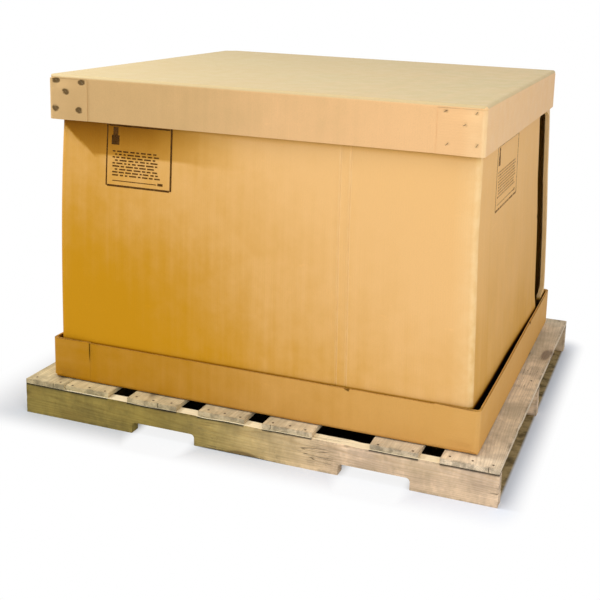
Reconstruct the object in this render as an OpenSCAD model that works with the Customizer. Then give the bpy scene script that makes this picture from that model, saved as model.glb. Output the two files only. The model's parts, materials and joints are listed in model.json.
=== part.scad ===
// Heavy corrugated pallet box: a folded base tray, a standing sleeve and a folded lid cap,
// on a wooden pallet with notched stringers. Millimetres, +Z up.
// The origin is the centre of the pallet's footprint on the floor, and the front faces -Y.

/* [Pallet] */
// How far the pallet reaches past each end of the tray
pallet_past_l = 76.5; // [0:0.5:150]
// How far the pallet reaches past each long side of the tray
pallet_past_w = 51; // [0:0.5:120]
// Thickness of every deck board
deck_t = 16; // [12:1:25]
// Radius of the softened long edges of the deck boards
board_edge_r = 2; // [1:0.5:4]
// Widths of the top boards, from left to right
top_board_w = [151, 167, 182, 163, 168, 154, 179];
// Shares of the free length that the gaps between the top boards take
top_gap_share = [2, 73, 76, 62, 184, 65];
// How far each top board's front end stops short of the front stringer's face
top_board_short = [0, 5, 1, 4, 2, 3, 0];

/* [Stringers] */
// Thickness of a stringer
stringer_t = 38; // [30:1:60]
// Height of a stringer, from the floor to the deck boards
stringer_h = 105; // [95:1:135]
// Length of a fork notch
notch_l = 229; // [180:1:260]
// Height of a fork notch
notch_h = 38; // [20:1:45]
// Corner radius at the top of a fork notch
notch_r = 13; // [6:1:18]
// Shares of the stringer's length that its three feet take: left, middle and right
foot_share = [411, 491, 266];

/* [Corrugated board] */
// Thickness of the double-wall board of the tray and the lid
cap_t = 7; // [5:0.5:9]
// Thickness of the triple-wall board of the sleeve
sleeve_t = 14; // [10:0.5:18]
// Outer radius of the folds round a cap's flat panel
fold_r = 12; // [10:0.5:16]
// Outer radius of a cap's upright corners
corner_r = 16; // [12:0.5:22]
// Length of the corner flaps, which lap onto the long walls
flap_l = 141; // [80:1:200]
// Distance from a cap's flat panel to the cut edge of a flap
flap_relief = 6; // [1:0.5:14]

/* [Sleeve] */
// Outer length of the sleeve
sleeve_l = 1384; // [1200:1:1450]
// Outer width of the sleeve
sleeve_w = 1261; // [1000:1:1330]
// Height of the sleeve
sleeve_h = 1022; // [800:1:1200]
// Outer radius of the sleeve's scored corners
sleeve_r = 20; // [19:0.5:26]
// Width of the glue tab that turns round the rear right corner
tab_w = 115; // [60:1:150]
// Width of the open joint between the tab and the side panel
joint_gap = 118; // [60:1:140]
// Distance from the sleeve's right face to the nearer of the two panel scores
score_x = 387; // [300:1:500]
// Distance between the two panel scores
score_pitch = 32; // [20:1:80]
// Width of a panel score
score_w = 9; // [6:1:14]
// Depth of a panel score
score_d = 2.5; // [1:0.5:4]
// Offset of the box from the middle of the pallet, along the pallet's width
box_y = -2; // [-20:1:20]

/* [Base tray] */
// Height of the tray's walls
tray_h = 142; // [100:1:180]
// Play between the sleeve and each end wall of the tray
tray_play_l = 37.5; // [2:0.5:50]
// Play between the sleeve and each long wall of the tray
tray_play_w = 3; // [1:0.5:20]

/* [Lid cap] */
// Height of the lid's walls
lid_h = 144; // [100:1:200]
// Play between the sleeve and each end wall of the lid, when the lid is centred
lid_play_l = 14; // [8:0.5:30]
// Play between the sleeve and each long wall of the lid
lid_play_w = 8; // [7:0.5:20]
// Gap left at the right, where the lid has slid against the sleeve
lid_rest_gap = 0.5; // [0.3:0.1:2]
// Turn of the lid on the sleeve, in degrees, left end forward
lid_turn = 0.15; // [0:0.05:0.5]

/* [Hidden] */
deck_top = stringer_h + deck_t;
tray_floor = deck_top + cap_t;
lid_top = tray_floor + sleeve_h + cap_t;
// A cap's end walls are one board thick, and its long walls two, with the flaps
tray_l = sleeve_l + 2 * (tray_play_l + cap_t);
tray_w = sleeve_w + 2 * (tray_play_w + 2 * cap_t);
lid_l = sleeve_l + 2 * (lid_play_l + cap_t);
lid_w = sleeve_w + 2 * (lid_play_w + 2 * cap_t);
pallet_l = tray_l + 2 * pallet_past_l;
pallet_w = tray_w + 2 * pallet_past_w;
stringer_y = (pallet_w - stringer_t) / 2;
feet_l = pallet_l - 2 * notch_l;
foot_l = [for (share = foot_share) feet_l * share / total(foot_share, len(foot_share))];
notch_x = [foot_l[0], foot_l[0] + notch_l + foot_l[1]];
// The turn takes up some of the lid's play, and the rest is how far it has slid to the left
lid_slide = lid_play_l - lid_rest_gap - sleeve_w / 2 * sin(lid_turn);
top_free = pallet_l - total(top_board_w, len(top_board_w));
// How far a cutting shape runs past what it cuts
past = 1;

// Sum of the first n numbers of a list
function total(list, n) = n == 0 ? 0 : list[n - 1] + total(list, n - 1);

// Left edge of a top board: the boards before it, and their share of the free length
function top_x(i) = total(top_board_w, i)
    + top_free * total(top_gap_share, i) / total(top_gap_share, len(top_gap_share));

// Rectangle round the origin with round corners
module round_rect(l, w, r) {
    square([l - 2 * r, w], center = true);
    square([l, w - 2 * r], center = true);
    for (x = [-1, 1], y = [-1, 1])
        translate([x * (l / 2 - r), y * (w / 2 - r)])
            circle(r, $fn = 48);
}

// Upright panel outline round the middle: square on top, with its two lower corners rounded
module folded_profile(l, h, r) {
    translate([-l / 2, r])
        square([l, h - r]);
    translate([-l / 2 + r, 0])
        square([l - 2 * r, h]);
    for (x = [-1, 1])
        translate([x * (l / 2 - r), r])
            circle(r, $fn = 48);
}

// Block with rounded folds below and rounded upright corners, standing on z = 0
module folded_block(l, w, h, r_fold, r_corner) {
    intersection() {
        linear_extrude(h)
            round_rect(l, w, r_corner);
        rotate([90, 0, 0])
            translate([0, 0, -w / 2 - past])
                linear_extrude(w + 2 * past)
                    folded_profile(l, h, r_fold);
        rotate([90, 0, 90])
            translate([0, 0, -l / 2 - past])
                linear_extrude(l + 2 * past)
                    folded_profile(w, h, r_fold);
    }
}

// The end walls and the four flaps that turn from them onto the long walls
module end_wraps(l, w, h) {
    translate([0, 0, cap_t + flap_relief])
        linear_extrude(h - cap_t - flap_relief)
            intersection() {
                round_rect(l, w, corner_r);
                for (x = [-1, 1])
                    translate([x * (l - flap_l) / 2, 0])
                        square([flap_l, w], center = true);
            }
}

// One-piece cap folded from double-wall board, open side up: a flat panel, four walls,
// and corner flaps that lap outside the long walls
module cap(l, w, h) {
    difference() {
        union() {
            folded_block(l, w - 2 * cap_t, h, fold_r, corner_r);
            end_wraps(l, w, h);
        }
        translate([0, 0, cap_t])
            folded_block(l - 2 * cap_t, w - 4 * cap_t, h, fold_r - cap_t, corner_r - cap_t);
    }
}

// Fork notch, open below, with rounded upper corners
module notch() {
    translate([0, -past])
        square([notch_l, notch_h - notch_r + past]);
    translate([notch_r, -past])
        square([notch_l - 2 * notch_r, notch_h + past]);
    for (x = [notch_r, notch_l - notch_r])
        translate([x, notch_h - notch_r])
            circle(notch_r, $fn = 48);
}

// Stringer standing on the floor on its three feet
module stringer(y) {
    color("burlywood")
        translate([-pallet_l / 2, y + stringer_t / 2, 0])
            rotate([90, 0, 0])
                linear_extrude(stringer_t)
                    difference() {
                        square([pallet_l, stringer_h]);
                        for (x = notch_x)
                            translate([x, 0])
                                notch();
                    }
}

// Deck board lying across the stringers, with softened long edges
module top_board(i) {
    color("wheat")
        translate([-pallet_l / 2 + top_x(i) + top_board_w[i] / 2, pallet_w / 2, stringer_h + deck_t / 2])
            rotate([90, 0, 0])
                linear_extrude(pallet_w - top_board_short[i])
                    round_rect(top_board_w[i], deck_t, board_edge_r);
}

module base_tray() {
    color("goldenrod")
        translate([0, box_y, deck_top])
            cap(tray_l, tray_w, tray_h);
}

// Shallow pressed score, running up the sleeve's front face
module score() {
    polygon([[-score_w / 2, -past], [score_w / 2, -past], [score_w / 2, 0], [0, score_d], [-score_w / 2, 0]]);
}

// Plan of the sleeve: a scored tube whose ends don't meet, so that the joint stands open
// between the side panel and the tab
module sleeve_plan() {
    difference() {
        round_rect(sleeve_l, sleeve_w, sleeve_r);
        round_rect(sleeve_l - 2 * sleeve_t, sleeve_w - 2 * sleeve_t, sleeve_r - sleeve_t);
        translate([sleeve_l / 2 - sleeve_t - past, sleeve_w / 2 - tab_w - joint_gap])
            square([sleeve_t + 2 * past, joint_gap]);
        for (x = [score_x, score_x + score_pitch])
            translate([sleeve_l / 2 - x, -sleeve_w / 2])
                score();
    }
}

module sleeve() {
    color("darkgoldenrod")
        translate([0, box_y, tray_floor])
            linear_extrude(sleeve_h)
                sleeve_plan();
}

// The same folded cap turned over, resting on the sleeve's top edge
module lid_cap() {
    color("tan")
        translate([-lid_slide, box_y, lid_top])
            rotate([180, 0, lid_turn])
                cap(lid_l, lid_w, lid_h);
}

stringer(-stringer_y);  // stringer_front
stringer(0);  // stringer_middle
stringer(stringer_y);  // stringer_back
top_board(0);  // top_board_1
top_board(1);  // top_board_2
top_board(2);  // top_board_3
top_board(3);  // top_board_4
top_board(4);  // top_board_5
top_board(5);  // top_board_6
top_board(6);  // top_board_7
base_tray();
sleeve();
lid_cap();
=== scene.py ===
"""Corrugated pallet box on a notched-stringer pallet: its finished meshes, materials, studio and camera.

Metres, +Z up. The front faces -Y, and the origin is the middle of the pallet's footprint on the floor.
"""
import json
import math
import random

import bmesh
import bpy
from mathutils import Matrix, Vector, noise


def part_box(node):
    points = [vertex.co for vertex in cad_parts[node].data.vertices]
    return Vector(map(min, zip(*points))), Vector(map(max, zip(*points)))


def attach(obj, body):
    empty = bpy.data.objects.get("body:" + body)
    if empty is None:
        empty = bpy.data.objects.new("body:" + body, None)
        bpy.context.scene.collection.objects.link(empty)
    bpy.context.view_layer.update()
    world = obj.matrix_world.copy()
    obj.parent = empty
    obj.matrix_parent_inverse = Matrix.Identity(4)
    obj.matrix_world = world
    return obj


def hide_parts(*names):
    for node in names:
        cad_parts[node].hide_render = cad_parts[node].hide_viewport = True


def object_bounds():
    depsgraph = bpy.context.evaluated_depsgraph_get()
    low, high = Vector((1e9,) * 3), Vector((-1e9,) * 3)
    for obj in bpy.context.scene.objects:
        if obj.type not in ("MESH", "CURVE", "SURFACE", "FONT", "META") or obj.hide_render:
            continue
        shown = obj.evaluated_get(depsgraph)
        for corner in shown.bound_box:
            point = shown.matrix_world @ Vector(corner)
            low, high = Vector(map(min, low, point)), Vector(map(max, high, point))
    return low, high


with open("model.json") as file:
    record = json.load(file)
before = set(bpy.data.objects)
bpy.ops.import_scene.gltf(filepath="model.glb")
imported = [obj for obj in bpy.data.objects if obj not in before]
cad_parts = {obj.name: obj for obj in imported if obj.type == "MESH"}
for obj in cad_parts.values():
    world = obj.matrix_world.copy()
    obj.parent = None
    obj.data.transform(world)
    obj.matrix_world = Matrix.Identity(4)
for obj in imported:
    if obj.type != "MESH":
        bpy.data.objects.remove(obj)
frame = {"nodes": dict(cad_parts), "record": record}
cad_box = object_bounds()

MM = 0.001

# Sizes of the part's source that its nodes' boxes don't give
CAP_T = 7 * MM
FLAP_L = 141 * MM
FLAP_RELIEF = 6 * MM
CAP_FOLD_R = 12 * MM
SLEEVE_T = 14 * MM
SLEEVE_R = 20 * MM
TAB_W = 115 * MM
JOINT_GAP = 118 * MM
LID_TURN = math.radians(0.15)

# Slicing and shading of the copied meshes
WELD = 0.01 * MM
FLAT_ANGLE = math.radians(0.4)
SHARP_ANGLE = math.radians(38)
NAIL_SHARP_ANGLE = math.radians(60)
SHEET_STEP = 36 * MM
SUPPORT = 5 * MM
# How far past a dent the faces are still divided, and into how many cuts
DENT_MARGIN = 0.6 * SHEET_STEP
DENT_CUTS = 3

TOP_BOARDS = [f"top_board_{i}" for i in range(1, 8)]
STRINGERS = ["stringer_front", "stringer_middle", "stringer_back"]


class Cap:
    """Measures of a folded cap, with points turned into its own square frame."""

    def __init__(self, node, flat_side, turn=0.0):
        low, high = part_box(node)
        self.centre = (low + high) / 2
        half = (high - low) / 2
        self.half_l = half.x - half.y * math.sin(turn)
        self.half_w = half.y - half.x * math.sin(turn)
        self.height = high.z - low.z
        self.flat_z = high.z if flat_side == "up" else low.z
        self.open_z = low.z if flat_side == "up" else high.z
        self.unturn = Matrix.Rotation(-turn, 3, "Z")

    def local(self, point):
        return self.unturn @ (point - self.centre)

    def drop(self, point):
        """Distance from the cap's flat panel, along its walls."""
        return abs(point.z - self.flat_z)

    def world(self, end, side, from_end, drop, out=0.0):
        """A point on a flap: end and side are -1 or 1, out is how far it stands off the flap."""
        place = Vector((end * (self.half_l - from_end), side * (self.half_w + out), 0.0))
        place = self.unturn.transposed() @ place + self.centre
        place.z = self.flat_z + math.copysign(drop, self.open_z - self.flat_z)
        return place


tray = Cap("base_tray", "down")
lid = Cap("lid_cap", "up", LID_TURN)
sleeve_low, sleeve_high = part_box("sleeve")
sleeve_centre = (sleeve_low + sleeve_high) / 2
sleeve_half = (sleeve_high - sleeve_low) / 2


def clamp(value, low=0.0, high=1.0):
    return max(low, min(high, value))


def ease(value):
    """Smooth step from 0 to 1."""
    value = clamp(value)
    return value * value * (3 - 2 * value)


def blend(start, end, share):
    return start + (end - start) * share


def wave(point, size, seed=0.0):
    """Smooth noise from about -1 to 1, with bumps about size metres across."""
    return noise.noise(Vector(point) / size + Vector((seed, 1.7 * seed, 2.3 * seed)))


# Slicing, bending and marking of the copied meshes

def spaced(low, high, step):
    """Evenly spaced places strictly between low and high, about step apart."""
    count = max(1, round((high - low) / step))
    return [low + (high - low) * i / count for i in range(1, count)]


def sliced_copy(node, slices):
    """A bmesh copy of a CAD node, welded, and sliced by planes given as (axis, place)."""
    source = frame["nodes"][node]
    mesh = bmesh.new()
    mesh.from_mesh(source.data)
    mesh.transform(source.matrix_world)
    bmesh.ops.remove_doubles(mesh, verts=mesh.verts, dist=WELD)
    bmesh.ops.dissolve_limit(mesh, angle_limit=FLAT_ANGLE, verts=mesh.verts, edges=mesh.edges)
    counts = [sum(1 for axis, _ in slices if axis == a) for a in range(3)]
    for axis, place in sorted(slices, key=lambda cut: -counts[cut[0]]):
        normal = Vector((0, 0, 0))
        normal[axis] = 1.0
        bmesh.ops.bisect_plane(
            mesh, geom=mesh.verts[:] + mesh.edges[:] + mesh.faces[:],
            dist=WELD, plane_co=normal * place, plane_no=normal)
    return mesh


def refine(mesh, dents):
    """Divides the faces that the dents reach more finely, each face once."""
    near = [face for face in mesh.faces if any(
        (face.calc_center_median() - dent.centre).length < dent.radius + DENT_MARGIN for dent in dents)]
    edges = list(dict.fromkeys(edge for face in near for edge in face.edges))
    bmesh.ops.subdivide_edges(mesh, edges=edges, cuts=DENT_CUTS, use_grid_fill=True)


def mark_faces(mesh, layers):
    """Stores values at each face's corners: layers maps a name to a function of (point, face normal)."""
    mesh.normal_update()
    mesh.verts.index_update()
    for name, value_of in layers.items():
        kind = mesh.loops.layers.float_vector if name.endswith("_point") else mesh.loops.layers.float
        layer = kind.new(name)
        known = {}
        for face in mesh.faces:
            way = face.normal.to_tuple(3)
            for loop in face.loops:
                key = (loop.vert.index, way)
                if key not in known:
                    known[key] = value_of(loop.vert.co, face.normal)
                loop[layer] = known[key]


def skin(mesh, rings):
    """Joins rings of vertices into a closed tube."""
    for ring, following in zip(rings, rings[1:]):
        for k in range(len(ring)):
            after = (k + 1) % len(ring)
            mesh.faces.new((ring[k], ring[after], following[after], following[k]))
    mesh.faces.new(rings[0])
    mesh.faces.new(rings[-1])


def linked(name, data):
    """A new object in the scene."""
    new = bpy.data.objects.new(name, data)
    bpy.context.scene.collection.objects.link(new)
    return new


def finished_piece(mesh, name, material, replaced=(), sharp=SHARP_ANGLE):
    """Turns a bmesh into a shaded object that rides on the root body."""
    mesh.normal_update()
    for edge in mesh.edges:
        edge.smooth = len(edge.link_faces) == 2 and edge.calc_face_angle(0.0) < sharp
    for face in mesh.faces:
        face.smooth = True
    data = bpy.data.meshes.new(name)
    mesh.to_mesh(data)
    mesh.free()
    data.materials.append(material)
    piece = linked(name, data)
    shading = piece.modifiers.new("face-weighted shading", "WEIGHTED_NORMAL")
    shading.keep_sharp = True
    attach(piece, "root")
    if replaced:
        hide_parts(*replaced)
    return piece


class Dent:
    """A pushed-in spot: its middle, its radius, the push at its middle, how dark its dirty mark and painted
    shade are, and how wide it is.
    """

    def __init__(self, centre, radius, push, stain=1.0, wide=1.0):
        self.centre = Vector(centre)
        self.radius = radius
        self.push = Vector(push)
        self.stain = stain
        self.wide = wide

    def share(self, point):
        """1 at the dent's middle, and 0 where it no longer reaches."""
        way = point - self.centre
        way.z *= self.wide
        return ease(1.0 - way.length / self.radius)


def marked_by(dents):
    """A function that says how dark the dents' dirty marks and painted shade make a point, from 0 to 1."""
    return lambda point, normal: max([dent.share(point) * dent.stain for dent in dents] + [0.0])


def pressed(point, dents):
    """A point moved by the dents that reach it."""
    for dent in dents:
        share = dent.share(point)
        if share:
            point = point + dent.push * share * (1 + 0.5 * wave(point, dent.radius / 2, 3.0))
    return point


# Shader node helpers

class Value:
    """What a shader node puts out, for use in sums like any number."""

    def __init__(self, graph, socket):
        self.graph = graph
        self.socket = socket

    def __add__(self, other):
        return self.graph.math("ADD", self, other)

    def __sub__(self, other):
        return self.graph.math("SUBTRACT", self, other)

    def __rsub__(self, other):
        return self.graph.math("SUBTRACT", other, self)

    def __mul__(self, other):
        return self.graph.math("MULTIPLY", self, other)

    def __truediv__(self, other):
        return self.graph.math("DIVIDE", self, other)

    def __pow__(self, other):
        return self.graph.math("POWER", self, other)

    def __abs__(self):
        return self.graph.math("ABSOLUTE", self)


class Graph:
    """Adds nodes to one node tree and links them, in short calls."""

    def __init__(self, tree):
        self.tree = tree

    def add(self, kind, sockets=(), **settings):
        """Adds a shader node with its settings and inputs, and gives its outputs by place and by name."""
        node = self.tree.nodes.new("ShaderNode" + kind)
        for name, value in settings.items():
            setattr(node, name, value)
        for name, value in dict(sockets).items():
            self.feed(value, node.inputs[name])
        outputs = {}
        for i, socket in enumerate(node.outputs):
            outputs[i] = outputs[socket.name] = Value(self, socket)
        return outputs

    def feed(self, value, socket):
        """Sets a socket to a constant, or links another node's value to it."""
        if isinstance(value, Value):
            self.tree.links.new(value.socket, socket)
        else:
            socket.default_value = value

    def math(self, operation, a, b=0.0):
        return self.add("Math", {0: a, 1: b}, operation=operation)[0]

    def largest(self, first, *others):
        for other in others:
            first = self.math("MAXIMUM", first, other)
        return first

    def sine(self, turns):
        """Sine of a number of full turns."""
        return self.math("SINE", turns * (2 * math.pi))

    def stretch(self, point, scale):
        return self.add("VectorMath", {0: point, 1: scale}, operation="MULTIPLY")[0]

    def parts(self, point):
        outputs = self.add("SeparateXYZ", {0: point})
        return outputs[0], outputs[1], outputs[2]

    def noise(self, point, scale=1.0, detail=3.0, roughness=0.55, distortion=0.0):
        """Noise of a scale: one number, or three for noise that is drawn out along an axis."""
        if isinstance(scale, tuple):
            point, scale = self.stretch(point, scale), 1.0
        sockets = {"Vector": point, "Scale": scale, "Detail": detail, "Roughness": roughness,
                   "Distortion": distortion}
        return self.add("TexNoise", sockets)["Fac"]

    def fade(self, value, low, high, start=0.0, end=1.0):
        """Smooth change from start to end, as the value goes from low to high."""
        sockets = {"Value": value, "From Min": low, "From Max": high, "To Min": start, "To Max": end}
        return self.add("MapRange", sockets, interpolation_type="SMOOTHSTEP")["Result"]

    def mix(self, share, a, b):
        """A colour between a and b."""
        return self.add("Mix", {0: share, 6: a, 7: b}, data_type="RGBA")[2]

    def lighten(self, colour, factor):
        """A colour times a number."""
        return self.add("VectorMath", {0: colour, "Scale": factor}, operation="SCALE")[0]

    def lighten_by(self, colour, value, low, high, start, end):
        """A colour times a number that fades from start to end, as the value goes from low to high."""
        return self.lighten(colour, self.fade(value, low, high, start, end))


def cleared_graph(owner):
    """The emptied node tree of a material or a world."""
    owner.use_nodes = True
    owner.node_tree.nodes.clear()
    return Graph(owner.node_tree)


def shader_group(name, inputs, outputs):
    """An empty node group, as its graph, its inputs and a function that sets an output.

    Inputs and outputs are given as the names of each kind of socket.
    """
    tree = bpy.data.node_groups.new(name, "ShaderNodeTree")
    for in_out, sockets in (("INPUT", inputs), ("OUTPUT", outputs)):
        for kind, names in sockets.items():
            for socket in names:
                tree.interface.new_socket(socket, in_out=in_out, socket_type="NodeSocket" + kind)
    graph = Graph(tree)
    entry = {socket.name: Value(graph, socket) for socket in tree.nodes.new("NodeGroupInput").outputs}
    way_out = tree.nodes.new("NodeGroupOutput").inputs
    return graph, entry, lambda socket, value: graph.feed(value, way_out[socket])


def colour(red, green, blue):
    return (red, green, blue, 1.0)


def surface(name, effect, sockets, bump_depth, specular=0.5, metallic=0.0):
    """A material whose colour, roughness and relief come from an effect group."""
    material = bpy.data.materials.new(name)
    graph = cleared_graph(material)
    filled = {key: value(graph) if callable(value) else value for key, value in sockets.items()}
    look = graph.add("Group", filled, node_tree=effect)
    relief = graph.add("Bump", {"Height": look["Height"], "Distance": bump_depth, "Strength": 1.0})
    wanted = {"Base Color": look["Color"], "Roughness": look["Roughness"], "Normal": relief["Normal"],
              "Specular IOR Level": specular, "Metallic": metallic}
    if "Alpha" in look:
        wanted["Alpha"] = look["Alpha"]
    shader = graph.add("BsdfPrincipled", wanted)
    graph.add("OutputMaterial", {"Surface": shader[0]})
    return material


# Effects

SURFACE_OUTPUTS = {"Color": ["Color"], "Float": ["Roughness", "Height"]}

FLUTE_PITCH = 7.5 * MM
LINER_SHARE = 0.08
FLUTE_PAPER = 0.16
# What is left of red, green and blue in a dent's dirty mark and painted shade, and how fast painted shade
# takes each of them
DENT_DIRT_AND_SHADE = (0.22, 0.19, 0.1)
PAINTED_SHADE_POWERS = (0.8, 1.1, 2.6)


def corrugated_effect():
    """Kraft liner on its faces, and liners with fluted paper between them on its cut edges."""
    graph, entry, put = shader_group(
        "corrugated board",
        {"Vector": ["Sheet Point"],
         "Float": ["Cut Edge", "Fold", "Dent", "Fade", "Bleach", "Grime", "Ply Depth"],
         "Color": ["Deep Tone", "Pale Tone", "Bleached Tone", "Rubbed Tone"]},
        SURFACE_OUTPUTS)
    point = entry["Sheet Point"]
    across, _, depth = graph.parts(point)

    cloud = graph.noise(point, 2.6, 4.0)
    blotch = graph.noise(point, 17.0, 4.0, 0.6)
    streak = graph.noise(point, (34.0, 1.3, 1.3))
    fibre = graph.noise(point, (260.0, 1100.0, 700.0), 3.0, 0.7)
    fleck = graph.noise(point, 620.0, 1.0)
    ripple = graph.sine(across / FLUTE_PITCH)
    ripple_here = ripple * graph.fade(graph.noise(point, 5.0, 2.0), 0.4, 0.62)

    drift = cloud * 0.55 + streak * 0.3 + blotch * 0.3
    # Painted light: the tone runs from deep to pale along a painted light gradient, with random drift
    share = graph.fade(entry["Fade"] + (drift - 0.575), -0.1, 1.1)
    face = graph.mix(share, entry["Deep Tone"], entry["Pale Tone"])
    # Upward faces turn to a paler, less red tone
    upward_pale_share = entry["Bleach"] * graph.fade(drift, 0.4, 0.75, 0.75, 1.0)
    face = graph.mix(upward_pale_share, face, entry["Bleached Tone"])
    face = graph.lighten_by(face, fibre, 0.25, 0.75, 0.94, 1.05)
    face = graph.lighten_by(face, ripple_here, -1.0, 1.0, 0.992, 1.008)
    face = graph.lighten_by(face, fleck, 0.66, 0.74, 1.0, 0.8)
    face = graph.lighten_by(face, fleck, 0.26, 0.34, 1.12, 1.0)
    scuff = graph.fade(graph.noise(point, (9.0, 26.0, 26.0), 5.0, 0.7), 0.62, 0.72)
    face = graph.lighten_by(face, scuff, 0.0, 1.0, 1.0, 1.05)

    # Rubbed wear with a painted highlight: corners paler, strongest on the right corners and on the front
    # beside them
    rubbed = entry["Fold"] * graph.fade(graph.noise(point, 24.0), 0.35, 0.65, 0.6, 1.0)
    face = graph.mix(rubbed * 0.62, face, entry["Rubbed Tone"])
    ragged = graph.fade(graph.noise(point, 70.0, 3.0, 0.7), 0.35, 0.65, 0.62, 1.4)
    # A dent gets a ragged, dirty mark with painted shade in its hollow
    torn_and_shaded = graph.fade(entry["Dent"] * ragged, 0.08, 0.5)
    face = graph.mix(torn_and_shaded, face, graph.stretch(face, DENT_DIRT_AND_SHADE))
    # Painted shade darkens the board inside the sleeve and the tray, on the sleeve's foot in the tray and
    # under the lid's hem; blue goes fastest
    unshaded = 1.0 - entry["Grime"]
    kept = {i: unshaded ** power for i, power in enumerate(PAINTED_SHADE_POWERS)}
    face = graph.stretch(face, graph.add("CombineXYZ", kept)[0])

    ply_place = graph.math("FRACT", depth / entry["Ply Depth"])
    off_paper = abs(ply_place - (ripple * (0.5 - LINER_SHARE) + 0.5))
    off_liner = 0.5 - abs(ply_place - 0.5)
    paper = 1.0 - graph.fade(off_paper, FLUTE_PAPER * 0.6, FLUTE_PAPER)
    liner = 1.0 - graph.fade(off_liner, LINER_SHARE, LINER_SHARE * 1.6)
    solid = graph.largest(paper, liner)
    edge_face = graph.lighten_by(entry["Pale Tone"], fibre, 0.2, 0.8, 0.85, 1.1)
    # The flutes' hollows on a cut edge are painted dark, as shade in them
    edge = graph.mix(solid, graph.lighten(entry["Deep Tone"], 0.6), edge_face)

    put("Color", graph.mix(entry["Cut Edge"], face, edge))
    put("Roughness", graph.fade(blotch, 0.3, 0.7, 0.52, 0.64))
    cavity = (solid - 1.0) * entry["Cut Edge"]
    put("Height", fibre * 0.25 + ripple_here * 0.12 + blotch * 0.6 + streak * 0.5 + cavity * 3.0)
    return graph.tree


# Painted light on the stringers' tops between the boards
PAINTED_LIT_TOP_WOOD = (0.95, 0.84, 0.58)
RING_SPACING = 5.5 * MM
SAW_PITCH = 4.2 * MM
# How much faster blue fades than red and green where the painted light gradient shades the wood warm
WARM_POWER = 2.2


def softwood_effect():
    """Sawn softwood cut from a virtual log, with rings, knots, checks, saw marks and weathering."""
    graph, entry, put = shader_group(
        "sawn softwood",
        {"Vector": ["Grain Point"], "Float": ["Edge", "Seam", "Fade", "Weathering"],
         "Color": ["Early Wood", "Late Wood", "Weathered"]},
        SURFACE_OUTPUTS)
    point = entry["Grain Point"]
    along, across, through = graph.parts(point)

    heart_x = across + (graph.noise(point, (1.1, 4.0, 4.0), 2.0) - 0.5) * 0.09
    heart_z = through + along * 0.035
    radius = graph.math("SQRT", heart_x * heart_x + heart_z * heart_z)
    wobble = graph.noise(point, (2.5, 30.0, 30.0), 2.0)
    late = graph.fade(graph.sine(radius / RING_SPACING + wobble), 0.1, 1.0)

    fibre = graph.noise(point, (22.0, 1100.0, 1100.0), 2.0, 0.6)
    streak = graph.noise(point, (2.2, 55.0, 55.0), 4.0, 0.65)
    blotch = graph.noise(point, (3.0, 7.0, 7.0), 4.0, 0.6)
    grime = graph.noise(point, 24.0, 5.0, 0.7)
    band = graph.noise(point, (9.0, 6.0, 6.0), 4.0, 0.7)

    cells = {"Vector": graph.stretch(point, (2.4, 8.5, 8.5)), "Scale": 1.0}
    cell = graph.add("TexVoronoi", cells)["Distance"]
    knot = 1.0 - graph.fade(cell, 0.10, 0.17)
    knot_halo = 1.0 - graph.fade(cell, 0.12, 0.34)

    line = abs(graph.noise(point, (2.6, 62.0, 62.0), 2.0, 0.5, 0.4) - 0.5)
    check = (1.0 - graph.fade(line, 0.003, 0.010)) * graph.fade(graph.noise(point, 5.0, 2.0), 0.56, 0.66)
    saw = graph.sine((along + across * 0.06) / SAW_PITCH) * graph.fade(blotch, 0.42, 0.6)

    wood = graph.mix(late * 0.38, entry["Early Wood"], entry["Late Wood"])
    wood = graph.lighten_by(wood, streak, 0.2, 0.8, 0.74, 1.16)
    wood = graph.lighten_by(wood, band, 0.32, 0.68, 0.72, 1.16)
    wood = graph.mix(knot_halo * 0.45, wood, entry["Late Wood"])
    aged = entry["Weathering"] * graph.fade(blotch + grime * 0.4, 0.5, 0.95)
    wood = graph.mix(aged, wood, entry["Weathered"])
    wood = graph.mix(knot, wood, graph.lighten(entry["Late Wood"], 0.5))
    wood = graph.lighten_by(wood, fibre, 0.2, 0.8, 0.88, 1.08)
    worn = entry["Edge"] * graph.fade(grime, 0.4, 0.62)
    wood = graph.lighten_by(wood, worn, 0.0, 1.0, 1.0, 0.62)
    wood = graph.lighten_by(wood, grime, 0.6, 0.78, 1.0, 0.7)
    # Painted light: the wood is darker and warmer towards the left end, along a painted light gradient
    fade = entry["Fade"]
    wood = graph.stretch(wood, graph.add("CombineXYZ", {0: fade, 1: fade, 2: fade ** WARM_POWER})[0])
    # Painted shade below a board's end on the stringer, and painted light on the stringer's top between
    # boards
    wood = graph.lighten_by(wood, entry["Seam"], 0.0, 0.8, 1.0, 0.16)
    lit_top = graph.fade(entry["Seam"], -1.0, -0.2, 0.85, 0.0)
    wood = graph.mix(lit_top, wood, graph.lighten_by(PAINTED_LIT_TOP_WOOD, streak, 0.2, 0.8, 0.85, 1.05))

    put("Color", graph.mix(check * 0.7, wood, graph.lighten(entry["Late Wood"], 0.2)))
    put("Roughness", graph.fade(streak, 0.2, 0.8, 0.82, 0.66))
    put("Height", fibre * 0.35 - check * 1.6 + saw * 0.12 + late * 0.2 + grime * 0.5)
    return graph.tree


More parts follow.
